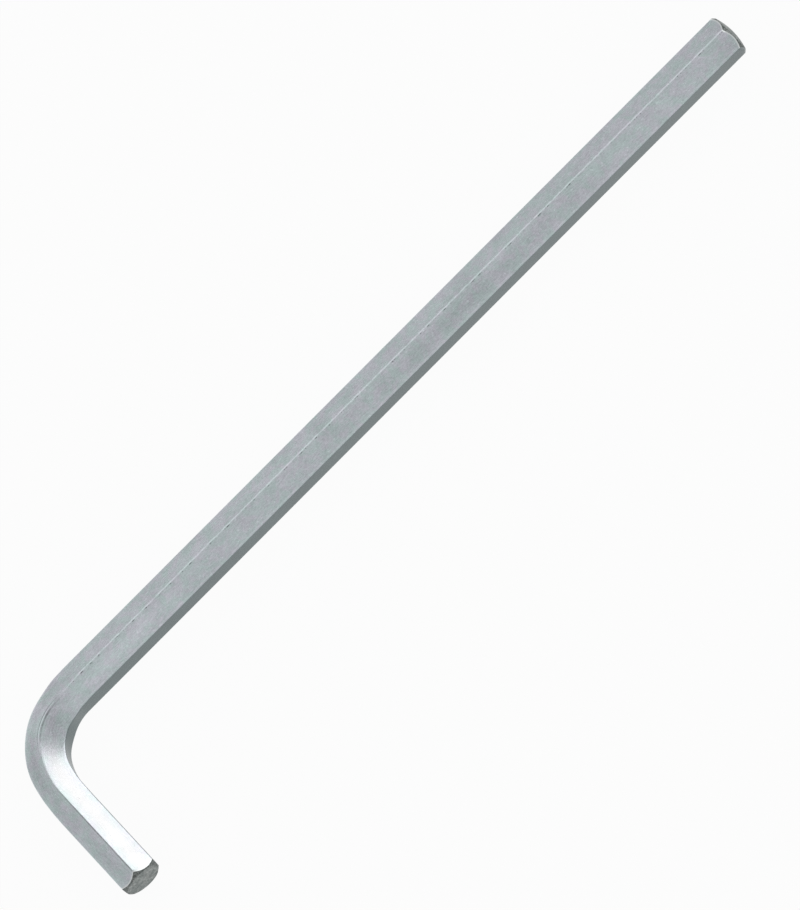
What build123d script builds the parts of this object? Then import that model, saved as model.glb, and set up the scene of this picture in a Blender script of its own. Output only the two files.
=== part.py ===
from build123d import *
import math
import os

# ------------------------------------------------------------ driving sizes (mm, degrees)
across_flats = 10.0     # the drive size, flat to flat
overall_long = 239.5    # back of the short arm to the long tip
overall_short = 50.2    # back of the long arm to the short tip
bend_radius = 17.0      # centre line of the bend
corner_radius = 0.35    # drawn edges of the hexagonal wire
wire_twist = 3.4        # turn of the long arm between the bend and its tip
short_face = 9.5        # flat left in the middle of the short tip
short_chamfer = 1.1     # the short tip's turned chamfer, measured along a corner
long_face = 9.8         # crowned face in the middle of the long tip
long_crown = 0.75       # how far the long tip's face stands out in its middle
long_chamfer = 0.85     # the long tip's turned chamfer, measured along a corner

# ------------------------------------------------------------ what follows from them
half = across_flats / 2
corner = across_flats / math.sqrt(3)                    # centre to a sharp corner
low = corner - corner_radius * (2 / math.sqrt(3) - 1)   # centre to a rounded corner
round_centre = corner - corner_radius * 2 / math.sqrt(3)
long_tip = overall_long - half                          # measured from where the centre lines cross
short_tip = overall_short - half
short_run = short_tip - bend_radius
back = round_centre * math.cos(math.radians(30 - wire_twist)) + corner_radius  # the turned corner's reach

# Row frame: X along the long arm, -Y along the short arm, Z up from the surface it lies on,
# origin under the middle of the bounding box.
cross_x = -(long_tip - half) / 2
cross_y = (short_tip - back) / 2
centre = Vector(cross_x, cross_y, low)

bend_start = Plane(centre + Vector(bend_radius, 0, 0), x_dir=(0, 1, 0), z_dir=(1, 0, 0))
bend_end = Plane(centre + Vector(0, -bend_radius, 0), x_dir=(-1, 0, 0), z_dir=(0, -1, 0))
long_end = Plane(centre + Vector(long_tip, 0, 0), x_dir=(0, 1, 0), z_dir=(1, 0, 0))
short_end = Plane(centre + Vector(0, -short_tip, 0), x_dir=(-1, 0, 0), z_dir=(0, -1, 0))
bend_axis = Axis(centre + Vector(bend_radius, -bend_radius, 0), (0, 0, 1))


def wire_section(plane, turn=0.0):
    """The drawn wire: a flat towards the inside of the bend, a corner up, corners rounded."""
    with BuildSketch(plane) as section:
        RegularPolygon(half, 6, major_radius=False, rotation=30 + turn)
        fillet(section.vertices(), corner_radius)
    return section.sketch


def turned_off(end, face_diameter, chamfer, crown=0.0):
    """What turning takes off a tip, as a profile beside the arm's axis."""
    face = face_diameter / 2
    spare = 1.0
    back = crown + chamfer * (corner + spare - face) / (corner - face)
    with BuildSketch(Plane(end.origin, x_dir=end.x_dir, z_dir=end.x_dir.cross(end.z_dir))) as profile:
        with BuildLine():
            if crown:
                ball = (face**2 + crown**2) / (2 * crown)
                ThreePointArc((0, 0), (face / 2, math.sqrt(ball**2 - face**2 / 4) - ball), (face, -crown))
            else:
                Line((0, 0), (face, 0))
            Polyline((face, -crown), (corner + spare, -back), (corner + spare, spare), (0, spare), (0, 0))
        make_face()
    return profile.sketch


with BuildPart() as hex_key:
    # the long arm, its section turning a little on the way to the tip
    loft([wire_section(bend_start), wire_section(long_end, wire_twist)], ruled=True)
    # the cold bend
    revolve(wire_section(bend_start), axis=bend_axis, revolution_arc=90)
    # the short arm
    extrude(wire_section(bend_end), amount=short_run)
    # both tips turned to a cone, the long one crowned as well
    revolve(turned_off(long_end, long_face, long_chamfer, long_crown),
            axis=Axis(long_end.origin, long_end.z_dir), revolution_arc=360, mode=Mode.SUBTRACT)
    revolve(turned_off(short_end, short_face, short_chamfer),
            axis=Axis(short_end.origin, short_end.z_dir), revolution_arc=360, mode=Mode.SUBTRACT)

hex_key.part.label = "hex_key"
os.makedirs("parts", exist_ok=True)
export_step(hex_key.part, "parts/hex_key.step")
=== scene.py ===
import math

import bmesh
import bpy
from mathutils import Euler, Matrix, Vector


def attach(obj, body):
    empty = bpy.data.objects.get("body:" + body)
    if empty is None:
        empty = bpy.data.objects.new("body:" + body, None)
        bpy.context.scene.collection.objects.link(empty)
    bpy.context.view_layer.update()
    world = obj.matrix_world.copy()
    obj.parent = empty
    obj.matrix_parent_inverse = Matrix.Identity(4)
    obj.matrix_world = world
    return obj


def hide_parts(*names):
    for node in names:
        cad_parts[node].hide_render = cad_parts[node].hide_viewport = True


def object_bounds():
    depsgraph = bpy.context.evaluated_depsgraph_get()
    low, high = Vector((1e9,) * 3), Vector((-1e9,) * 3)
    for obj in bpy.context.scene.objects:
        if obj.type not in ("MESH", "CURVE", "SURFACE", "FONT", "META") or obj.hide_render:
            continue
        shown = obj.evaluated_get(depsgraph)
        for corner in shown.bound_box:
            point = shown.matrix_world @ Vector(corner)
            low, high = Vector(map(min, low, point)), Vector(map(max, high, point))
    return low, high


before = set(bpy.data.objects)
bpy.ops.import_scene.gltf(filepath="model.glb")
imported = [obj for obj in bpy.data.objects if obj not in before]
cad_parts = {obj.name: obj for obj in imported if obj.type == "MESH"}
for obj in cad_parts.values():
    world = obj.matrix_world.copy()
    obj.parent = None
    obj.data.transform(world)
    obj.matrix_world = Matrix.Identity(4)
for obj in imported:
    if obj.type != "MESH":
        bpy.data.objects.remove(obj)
cad_low, cad_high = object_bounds()

# %% [markdown]
# ## The key and its sizes
# A hex key is one length of drawn hexagonal wire, cut off, bent once over a former and
# turned at both ends. It could be modelled as two prisms and a joint piece, but one
# sweep keeps the edges running unbroken round the bend, as they do on the real one.
# Three sizes carry all the rest: the flats, the bend and the two arms. They are written
# once here, and everything below is measured from the point where the two centre lines
# would cross.

# %% Sizes
MM = 0.001
FLATS = 10.0 * MM
LONG_TIP, SHORT_TIP = 234.5 * MM, 45.2 * MM
BEND = 17.0 * MM
ROUND = 0.35 * MM
TWIST = math.radians(3.4)
# a hexagon's side is as long as its corner is far from the middle
SIDE = CORNER = FLATS / math.sqrt(3)
# half the face left on each tip, how far it is crowned, and the chamfer's length at a corner
LONG_TURN = (4.9 * MM, 0.75 * MM, 0.85 * MM)
SHORT_TURN = (4.75 * MM, 0.0, 1.1 * MM)

low = CORNER - ROUND * (2 / math.sqrt(3) - 1)
cross = Vector((cad_low.x + FLATS / 2, cad_low.y + SHORT_TIP, low))
hub = cross + Vector((BEND, -BEND, 0))
print("centre lines cross at", [round(c / MM, 2) for c in cross], "mm")

# %% [markdown]
# ## The wire's section
# Drawing leaves flat sides and edges with a small even round. The section could be drawn
# as a curve's bevel profile, but a six-cornered ring with its corners bevelled gives the
# same rounds with an exact count of points, and cutting each flat into strips leaves
# points enough for the turned tips to scallop the flats properly.

# %% Section
ROUND_STEPS, FLAT_CUTS = 4, 13

bm = bmesh.new()
bmesh.ops.create_circle(bm, segments=6, radius=CORNER)
bmesh.ops.bevel(bm, geom=bm.verts[:], offset=ROUND * math.tan(math.radians(30)),
                segments=ROUND_STEPS, affect="VERTICES", profile=0.5, material=-1)
flats = [e for e in bm.edges if e.calc_length() > 3 * MM]
bmesh.ops.subdivide_edges(bm, edges=flats, cuts=FLAT_CUTS)
# local X of the ring looks to the outside of the bend, local Y up
bmesh.ops.transform(bm, verts=bm.verts, matrix=Matrix((
    (0, 0, 1, cross.x + BEND), (1, 0, 0, cross.y), (0, 1, 0, cross.z), (0, 0, 0, 1))))
ring = bm.edges[:]
print("the section has", len(ring), "points")

# %% [markdown]
# ## The bend
# The wire is bent cold through a right angle, so its section is carried round the former
# almost unchanged. Spinning the ring about the former's axis does the same, and it gives
# an even row of faces that smooth shading and the finish can follow.

# %% Bend
BEND_STEPS = 48

spun = bmesh.ops.spin(bm, geom=ring + bm.verts[:], cent=hub, axis=(0, 0, 1), dvec=(0, 0, 0),
                      angle=math.radians(90), steps=BEND_STEPS, use_merge=False,
                      use_duplicate=False)
short_ring = [g for g in spun["geom_last"] if isinstance(g, bmesh.types.BMEdge)]
long_ring = [e for e in bm.edges if len(e.link_faces) == 1
             and all(abs(v.co.x - hub.x) < 1e-6 and v.co.y > hub.y for v in e.verts)]
print("bend:", len(bm.faces), "faces, open rings of", len(long_ring), "and", len(short_ring))

# %% [markdown]
# ## The two arms
# Both arms are plain straight wire. One long extrusion each would do for the shape, but
# the stock is never quite true, so each open ring is drawn out in short steps that a
# later cell can turn and press a little.

# %% Arms
LONG_STEPS, SHORT_STEPS = 90, 14


def grow(edges):
    """Extrudes an open ring once; gives back the new ring's edges and points."""
    made = bmesh.ops.extrude_edge_only(bm, edges=edges)["geom"]
    new = {g for g in made if isinstance(g, bmesh.types.BMVert)}
    return [g for g in made if isinstance(g, bmesh.types.BMEdge) and set(g.verts) <= new], new


def draw_out(edges, direction, length, steps):
    """Draws an open ring out along a straight arm and gives back the last ring."""
    for _ in range(steps):
        edges, new = grow(edges)
        bmesh.ops.translate(bm, verts=list(new), vec=direction * length / steps)
    return edges


long_way, short_way = Vector((1, 0, 0)), Vector((0, -1, 0))
long_ring = draw_out(long_ring, long_way, LONG_TIP - BEND, LONG_STEPS)
short_ring = draw_out(short_ring, short_way, SHORT_TIP - BEND, SHORT_STEPS)
print("with both arms:", len(bm.faces), "faces")

# %% [markdown]
# ## The turned tips
# Each tip is faced and turned to a cone that just bites into the flats, which leaves a
# shallow scallop on every flat and a short slope on every corner. A boolean with a cone
# would cut it too, but it leaves long thin faces. Sliding the last ring back by the
# cone's depth at each point gives the same curve on a clean mesh. The face then closes in
# rings, whose first few break its edge as wear does.

# %% Tips
# out from the face's edge and worn back, in mm, then shares of the face's radius
RIM = ((0.10, 0.0), (0.03, 0.01), (-0.05, 0.01), (-0.14, 0.0))
FACE_RINGS = (0.85, 0.7, 0.5, 0.3, 0.12)


def turned_depth(off, turn):
    """How far back from the tip the turned surface lies, at a distance off the arm's axis."""
    face, crown, chamfer = turn
    return crown * min(1.0, off / face) ** 2 + max(0.0, off - face) * chamfer / (CORNER - face)


def turn_tip(edges, axis, tip, turn):
    """Cuts the open ring back to the turned surface, breaks the edge of its face, closes it."""
    def off_axis(v):
        out = v.co - cross
        return out - axis * out.dot(axis)

    face = turn[0]
    for v in {v for e in edges for v in e.verts}:
        v.co -= axis * turned_depth(off_axis(v).length, turn)
    rings = [(face + out * MM, worn * MM) for out, worn in RIM]
    rings += [(face * share, 0.0) for share in FACE_RINGS]
    for radius, worn in rings:
        edges, new = grow(edges)
        for v in new:
            back = turned_depth(radius, turn) + worn
            v.co = cross + axis * (tip - back) + off_axis(v).normalized() * radius
    bmesh.ops.holes_fill(bm, edges=edges, sides=0)
    return len(edges)


print("rim edges", turn_tip(long_ring, long_way, LONG_TIP, LONG_TURN),
      turn_tip(short_ring, short_way, SHORT_TIP, SHORT_TURN))

# %% [markdown]
# ## Telling each point where it is
# Marks and wear on a drawn and bent wire follow the wire, not the room. Texture
# coordinates from an unwrapping could carry that, but here it is simply known: how far
# along the wire a point lies, how far round it from the top corner, and how deep behind
# the turned tip. They are kept on the mesh for the finish to read.

# %% Places on the wire
ends = (-(LONG_TIP - BEND), BEND * math.pi / 2 + SHORT_TIP - BEND)


def station(co):
    """Millimetres along the wire from the start of the bend, outward direction, reach outwards."""
    if co.x > hub.x:
        return (hub.x - co.x) / MM, Vector((0, 1, 0)), co.y - cross.y
    if co.y < hub.y:
        return (BEND * math.pi / 2 + hub.y - co.y) / MM, Vector((-1, 0, 0)), cross.x - co.x
    arm = Vector((co.x - hub.x, co.y - hub.y, 0))
    return BEND / MM * math.atan2(-arm.x, arm.y), arm.normalized(), arm.length - BEND


def round_wire(reach, up):
    """Metres round the wire, from the top corner, positive towards the inside of the bend."""
    angle = math.degrees(math.atan2(up, reach))
    angle = angle + 360 if angle < -90 else angle
    flat = math.floor((angle + 30) / 60)
    return (flat - 1.5) * SIDE + FLATS / 2 * math.tan(math.radians(angle - 60 * flat))


wire = bm.verts.layers.float_vector.new("wire")
turned = bm.verts.layers.float.new("turned")
for v in bm.verts:
    at, _, reach = station(v.co)
    up = v.co.z - cross.z
    off = math.hypot(reach, up)
    v[wire] = (at * MM, round_wire(reach, up), off)
    v[turned] = min(abs(ends[0] - at * MM) - turned_depth(off, LONG_TURN),
                    abs(ends[1] - at * MM) - turned_depth(off, SHORT_TURN))
print("wire runs from", round(ends[0] / MM, 1), "to", round(ends[1] / MM, 1), "mm")

# %% [markdown]
# ## What drawing and bending leave behind
# Cold bending squeezes the section: the outside is drawn flatter at both ends of the bend,
# the top corner is pushed in just before it and out in the middle of it, and the inside
# stays pressed where the former held it. The stock is never quite true either, so the long
# arm turns by a few degrees on its way to the tip. Sculpting would give this by eye; a
# smooth push on each corner keeps it small, even and easy to change.

# %% Bend marks and twist
def swell(at, middle, width):
    """A soft hump, 1 high."""
    return math.exp(-((at - middle) / width) ** 2)


def rise(at, start, end):
    """A soft step from 0 to 1."""
    t = min(1.0, max(0.0, (at - start) / (end - start)))
    return t * t * (3 - 2 * t)


def corner_pushes(bend):
    """Millimetres outwards for each corner, counted from the top one, at degrees of the bend."""
    pushes = {
        0: 0.78 * swell(bend, 38, 20) - 0.45 * swell(bend, 1, 11),
        -1: -0.33 * swell(bend, 13, 12) - 0.36 * swell(bend, 81, 14),
        1: -0.42 * swell(bend, 12, 13) - 0.28 * swell(bend, 80, 15),
        2: 0.58 * rise(bend, 30, 60)}
    pushes[-2] = pushes[-1]
    return pushes


most = 0.0
for v in bm.verts:
    at, outward, reach = station(v.co)
    around = round_wire(reach, v.co.z - cross.z)
    push = sum(p * max(0.0, 1 - abs(around / SIDE - k))
               for k, p in corner_pushes(math.degrees(at * MM / BEND)).items())
    most = max(most, abs(push))
    v.co += outward * push * MM
    if at < 0:
        turn = TWIST * -at * MM / (LONG_TIP - BEND)
        v.co.yz = Matrix.Rotation(turn, 2) @ (v.co - cross).yz + cross.yz
print("pushed by at most", round(most, 2), "mm, twisted by",
      round(math.degrees(TWIST), 1), "degrees")

# %% [markdown]
# ## The skin
# The flats must shade flat right up to rounds that are a third of a millimetre wide. Sharp
# edges would lose the bright line on the round, and plain smooth shading would cloud the
# flats. Smooth shading with normals weighted by face area keeps both.

# %% Skin
bmesh.ops.recalc_face_normals(bm, faces=bm.faces[:])
mesh = bpy.data.meshes.new("hex_key_skin")
bm.to_mesh(mesh)
print("open edges:", sum(not e.is_manifold for e in bm.edges), "triangles about", 2 * len(bm.faces))
bm.free()
mesh.shade_smooth()
key = bpy.data.objects.new("hex_key_skin", mesh)
bpy.context.scene.collection.objects.link(key)
weights = key.modifiers.new("weights", "WEIGHTED_NORMAL")
weights.mode = "FACE_AREA"
weights.weight = 80


# %% [markdown]
# ## A small shader language
# The finish is written as sums of noises and soft bands. Placing each node by hand takes
# three lines and hides the sum, so sockets are wrapped once to be added and scaled like
# numbers.

# %% Shader helper
class Sock:
    """An output socket, or a number, that can be reckoned with."""

    def __init__(self, tree, value):
        self.tree, self.value = tree, value

    def node(self, kind, settings=(), inputs=(), out=0):
        n = self.tree.nodes.new(kind)
        for name, value in dict(settings).items():
            setattr(n, name, value)
        for name, value in dict(inputs).items():
            self.put(n.inputs[name], value)
        return Sock(self.tree, n.outputs[out])

    def put(self, socket, value):
        if isinstance(value, Sock):
            value = value.value
        if isinstance(value, bpy.types.NodeSocket):
            self.tree.links.new(value, socket)
        else:
            socket.default_value = value

    def maths(self, operation, a, b=0.0, clamp=False):
        return self.node("ShaderNodeMath", {"operation": operation, "use_clamp": clamp},
                         {0: a, 1: b})

    def __add__(self, o):
        return self.maths("ADD", self, o)

    def __radd__(self, o):
        return self.maths("ADD", o, self)

    def __sub__(self, o):
        return self.maths("SUBTRACT", self, o)

    def __rsub__(self, o):
        return self.maths("SUBTRACT", o, self)

    def __mul__(self, o):
        return self.maths("MULTIPLY", self, o)

    def band(self, low, high):
        """0 below low, 1 above high, a smooth step between."""
        return self.node("ShaderNodeMapRange", {"interpolation_type": "SMOOTHSTEP"},
                         {"Value": self, "From Min": low, "From Max": high})

    def near(self, middle, width):
        """1 at the middle, falling smoothly to 0 a width away."""
        return 1.0 - self.maths("ABSOLUTE", self - middle).band(0.0, width)

    def noise(self, place, scale, detail=3.0, rough=0.5, lean=0.0):
        return self.node("ShaderNodeTexNoise", {}, {
            "Vector": place, "Scale": scale, "Detail": detail, "Roughness": rough,
            "Distortion": lean})

    def stretch(self, place, scale, turn=(0, 0, 0)):
        return self.node("ShaderNodeMapping", {},
                         {"Vector": place, "Scale": scale, "Rotation": turn})

    def mix(self, share, a, b):
        n = self.tree.nodes.new("ShaderNodeMix")
        n.data_type = "RGBA"
        self.put(n.inputs["Factor"], share)
        for socket, value in (("A", a), ("B", b)):
            self.put([s for s in n.inputs if s.name == socket and s.type == "RGBA"][0], value)
        return Sock(self.tree, [s for s in n.outputs if s.type == "RGBA"][0])

    def scaled(self, colour, amount):
        return self.node("ShaderNodeVectorMath", {"operation": "SCALE"},
                         {0: colour, "Scale": amount})


# %% [markdown]
# ## Nickel over drawn steel: the grain
# The plating is thin and half bright. Seen close it has soft clouds a few millimetres
# wide, fine diagonal rubs from the tumbling drum, and a scatter of bright specks and dark
# pits. One noise can't hold all these scales, so each has its own; the rubs are a noise
# stretched along the wire and turned.

# %% Grain
steel = bpy.data.materials.new("plated_steel")
steel.use_nodes = True
tree = steel.node_tree
shader = tree.nodes["Principled BSDF"]
s = Sock(tree, 0.0)
place = s.node("ShaderNodeTexCoord", out="Object")
on_wire = s.node("ShaderNodeAttribute", {"attribute_name": "wire"}, out="Vector")
along, around, radius = (s.node("ShaderNodeSeparateXYZ", {}, {"Vector": on_wire}, i) * 1000.0
                         for i in range(3))

clouds = s.noise(place, 170.0, 5.0, 0.62, 0.4)
tint = s.noise(place, 300.0, 5.0, 0.65, 0.5)
grain = s.noise(place, 2600.0, 2.0, 0.6)
rubs = s.noise(s.stretch(on_wire, (620.0, 4200.0, 1.0), (0, 0, math.radians(40))), 1.0, 3.0, 0.6)
specks = s.noise(place, 1900.0, 1.0, 0.5).band(0.66, 0.74)
pits = s.noise(place, 1300.0, 2.0, 0.6).band(0.66, 0.75)
print("grain:", len(tree.nodes), "nodes")

# %% [markdown]
# ## Which flats are painted light and which painted dark
# The top inside flat of the short arm is painted bright, a painted highlight over the box it
# mirrors; the upright inside flat is painted dark, a painted shade; the two top flats through the
# bend and the short arm's top outside flat are painted a little darker, painted shade; the long
# arm's top inside flat is painted lighter near the bend and darker further out. A painted mask
# would need an unwrapping, while soft bands along and round the wire say the same and stay sharp at
# any size. All distances are millimetres on the wire.

# %% Flats
# from the top corner to the middle of the flat next to it
MID_FLAT = 2.9

# painted shade: the two top flats through the bend and the short arm's top outside flat are painted
# darker
bend_top_shade = along.near(9.0, 12.0) * around.near(MID_FLAT, 4.5)
bend_back_shade = along.near(14.0, 26.0) * around.near(-MID_FLAT, 3.4)
short_back_shade = along.band(24.0, 36.0) * around.near(-MID_FLAT, 3.6)
inner_top = around.near(MID_FLAT, 3.2)
# painted highlight: the short arm's top inside flat is painted brighter where it mirrors the box
painted_highlight_flat = along.band(10.0, 24.0) * around.near(MID_FLAT, 3.6)
# painted shade: the upright inside flat is painted dark, standing for the dark it would mirror
painted_shade_flat = around.band(5.62, 5.95) * (1.0 - around.band(11.35, 11.65))

tone = 0.985 + (clouds - 0.5) * 0.36
# grain and rubs fade where the painted highlight lies
tone += ((grain - 0.5) * 0.46 + (rubs - 0.5) * 0.55) * (1.0 - painted_highlight_flat * 0.8)
# painted light on the long arm's top inside flat near the bend, painted shade further out
tone += inner_top * (along.near(-14.0, 34.0) * 0.14 - along.near(-128.0, 60.0) * 0.12)
# painted shade on the dark upright inside flat; the last few mm of the long arm are also a little
# darker
tone -= painted_shade_flat * 0.13 + along.near(-217.0, 9.0) * 0.07
tone -= bend_top_shade * 0.24 + bend_back_shade * 0.17
tone -= short_back_shade * (0.06 + along.band(32.0, 52.0) * 0.07)
tone += specks * 0.18 - pits * 0.12
print("flats:", len(tree.nodes), "nodes")

# %% [markdown]
# ## The top edge
# The corner that looks up takes all the knocks. On the long arm a bright line, broken in places,
# is painted along one side of it, a painted highlight, with a painted shade line just beyond it,
# and a broken dark line on the other side, chips in the bump and painted shade in the colour; round
# the bend a painted highlight runs between two painted shade lines; on the short arm the corner is
# painted darker, painted shade. A faint painted highlight also runs along the edge above the dark
# upright inside flat. Modelled chips would be far below a tenth of a millimetre, so they are laid
# in colour and in bump.

# %% Top edge
broken = s.noise(s.stretch(on_wire, (420.0, 60.0, 1.0)), 1.0, 4.0, 0.7)
wander = (s.noise(s.stretch(on_wire, (260.0, 0.0, 1.0)), 1.0, 3.0, 0.6) - 0.5) * 0.35
edge = around - wander
long_part = 1.0 - along.band(-4.0, 3.0)
# painted highlight along the long arm's top corner, broken in places; painted shade lines beside
# it, one also cut into the bump as chips
ridge_highlight = edge.near(-0.24, 0.42) * (0.45 + broken.band(0.3, 0.6) * 0.55)
chips_and_shade = edge.near(0.12, 0.24) * broken.band(0.50, 0.62)
second_shade_line = edge.near(-0.42, 0.22) * (1.0 - broken.band(0.42, 0.5)) * 0.6
# a faint painted highlight on the edge above the dark upright inside flat
inner_edge_highlight = around.near(5.35, 0.30) * 0.10

tone += (ridge_highlight * 0.50 - chips_and_shade * 0.75 - second_shade_line * 0.30 + inner_edge_highlight) * long_part
# painted shade along the short arm's top corner; round the bend a painted highlight between two
# painted shade lines
tone -= around.near(0.0, 0.34) * along.band(22.0, 34.0) * 0.40
tone += around.near(0.0, 0.22) * along.near(10.0, 9.0) * 0.50
tone -= (around.near(-0.42, 0.3) + around.near(0.42, 0.3)) * along.near(8.0, 8.0) * 0.42
print("top edge:", len(tree.nodes), "nodes")

# %% [markdown]
# ## The plating's colour and the cut tips
# The grey leans by turns to blue-green and to lilac. The tips were turned after drawing and
# hardly plated: a fine bright burr runs round each, and the face inside it is a dull, grainy
# grey that darkens towards its rim. One material does for both, because the distance
# behind the turned surface says which is which.

# %% Colour
BLUE_GREEN, LILAC = (0.548, 0.642, 0.642, 1), (0.618, 0.626, 0.684, 1)
# the second pair: a painted highlight colour for the short arm's top inside flat and a painted
# shade colour for the upright inside flat
PAINTED_HIGHLIGHT, PAINTED_SHADE = (0.668, 0.668, 0.671, 1), (0.132, 0.170, 0.174, 1)
BURR = (0.76, 0.79, 0.79, 1)
CUT_DARK, CUT_PALE = (0.165, 0.190, 0.184, 1), (0.30, 0.32, 0.31, 1)

from_turned = s.node("ShaderNodeAttribute", {"attribute_name": "turned"}, out="Fac") * 1000.0
cut = 1.0 - from_turned.band(0.0, 0.05)
# the burr is dimmed on the flat painted dark, keeping the painted shade there
burr = from_turned.near(0.18, 0.30) * (1.0 - painted_shade_flat * 0.85)

grey = s.mix(tint.band(0.36, 0.64), BLUE_GREEN, LILAC)
# the flats' grey with the painted highlight and the painted shade laid over it
grey_with_painted_light = s.mix(painted_highlight_flat, s.mix(painted_shade_flat, grey, PAINTED_SHADE), PAINTED_HIGHLIGHT)
plated = s.mix(burr, s.scaled(grey_with_painted_light, tone), BURR)
dull = s.mix(s.noise(place, 700.0, 3.0, 0.7).band(0.35, 0.65), CUT_DARK, CUT_PALE)
dull = s.scaled(dull, 0.98 + (grain - 0.5) * 1.9 - radius.band(4.1, 4.9) * 0.30)
colour = s.mix(cut, plated, dull)
print("colour:", len(tree.nodes), "nodes")

# %% [markdown]
# ## Gloss and relief
# Half-bright nickel gives a broad soft glint: a roughness near a quarter, a little uneven
# with the clouds and grain and higher on the cut faces. The same noises raise a very slight
# bump, so light and colour change together as they do on real scratches.

# %% Gloss and relief
roughness = s.maths("ADD", 0.27 + (clouds - 0.5) * 0.10 + (grain - 0.5) * 0.12, cut * 0.2,
                    clamp=True)
height = grain * 0.5 + rubs * 0.6 + clouds * 0.8 - pits * 0.8 - chips_and_shade * 1.2 * long_part
bump = s.node("ShaderNodeBump", {}, {"Strength": 0.16, "Distance": 0.06 * MM, "Height": height})
shader.inputs["Metallic"].default_value = 1.0
s.put(shader.inputs["Base Color"], colour)
s.put(shader.inputs["Roughness"], roughness)
s.put(shader.inputs["Normal"], bump)
key.data.materials.append(steel)
print("finish:", len(tree.nodes), "nodes")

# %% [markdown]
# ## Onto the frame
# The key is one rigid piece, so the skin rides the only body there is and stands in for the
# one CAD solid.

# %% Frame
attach(key, "root")
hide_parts("hex_key")
print("the skin rides root and replaces hex_key")

# %% [markdown]
# ## The table
# The key lies on a plain pale card. A studio lights such a card until it burns out to white;
# doing that here would wash out the key too. So the card stays a pale grey in the light it
# throws, and only the rays that look at it or mirror it see white, with a share of the
# plain card left in so that a shadow still falls.

# %% Table
WHITE_SHARE = 0.95

bm = bmesh.new()
bmesh.ops.create_grid(bm, x_segments=1, y_segments=1, size=3.0)
floor_mesh = bpy.data.meshes.new("table")
bm.to_mesh(floor_mesh)
bm.free()
floor = bpy.data.objects.new("table", floor_mesh)
bpy.context.scene.collection.objects.link(floor)

paper = bpy.data.materials.new("paper")
paper.use_nodes = True
tree = paper.node_tree
tree.nodes.clear()
p = Sock(tree, 0.0)
seen = sum((p.node("ShaderNodeLightPath", out=f"Is {kind} Ray")
            for kind in ("Camera", "Glossy", "Transmission")), p) * WHITE_SHARE
card = p.node("ShaderNodeBsdfDiffuse", {}, {"Color": (0.62, 0.63, 0.63, 1)})
white = p.node("ShaderNodeEmission", {}, {"Color": (1, 1, 1, 1), "Strength": 1.0})
shown = p.node("ShaderNodeMixShader", {}, {0: seen, 1: card, 2: white})
p.put(tree.nodes.new("ShaderNodeOutputMaterial").inputs["Surface"], shown)
floor_mesh.materials.append(paper)
print("table:", len(floor_mesh.polygons), "face")

# %% [markdown]
# ## Light
# Metal shows what stands round it, so the light is kept plain: an even pale world, and one
# large soft box low at the long arm's end. The short arm's top flat is tilted towards the
# box and mirrors it, which, with the highlight painted on it, makes that flat shine while the
# others stay grey.

# %% Light
scene = bpy.context.scene
world = bpy.data.worlds.new("studio")
scene.world = world
world.use_nodes = True
world.node_tree.nodes["Background"].inputs["Color"].default_value = (1, 1, 1, 1)
world.node_tree.nodes["Background"].inputs["Strength"].default_value = 0.68

towards = Vector((0.84, 0.05, 0.54)).normalized()
light = bpy.data.lights.new("side box", "AREA")
light.shape = "RECTANGLE"
light.size, light.size_y = 2.4, 1.25
light.energy = 9.7
box = bpy.data.objects.new("side box", light)
box.location = towards * 2.0
box.rotation_euler = towards.to_track_quat("Z", "Y").to_euler()
scene.collection.objects.link(box)
print("side box stands", round(box.location.length, 2), "m off")

# %% [markdown]
# ## Camera
# A long lens from nearly two metres off keeps the two arms almost free of perspective, and
# looking in from the short arm's side shows two top flats and a strip of the inside one.

# %% Camera
cam_data = bpy.data.cameras.new("camera")
cam_data.sensor_width = 36
cam_data.lens = 307.6
cam = bpy.data.objects.new("camera", cam_data)
cam.location = cross + Vector((0.19609, -0.65897, 1.67940))
cam.rotation_euler = Euler([math.radians(a) for a in (13.346, 16.524, -42.607)])
scene.collection.objects.link(cam)
scene.camera = cam
scene.view_settings.view_transform = "Standard"
print("camera", round((cam.location - cross).length, 2), "m from the bend")

# %% [markdown]
# ## The CAD box
# The skin must be the size of the solid it replaces; the CAD solid's box is written down.

# %% CAD size
print("CAD box", [round(c / MM, 2) for c in (*cad_low, *cad_high)])
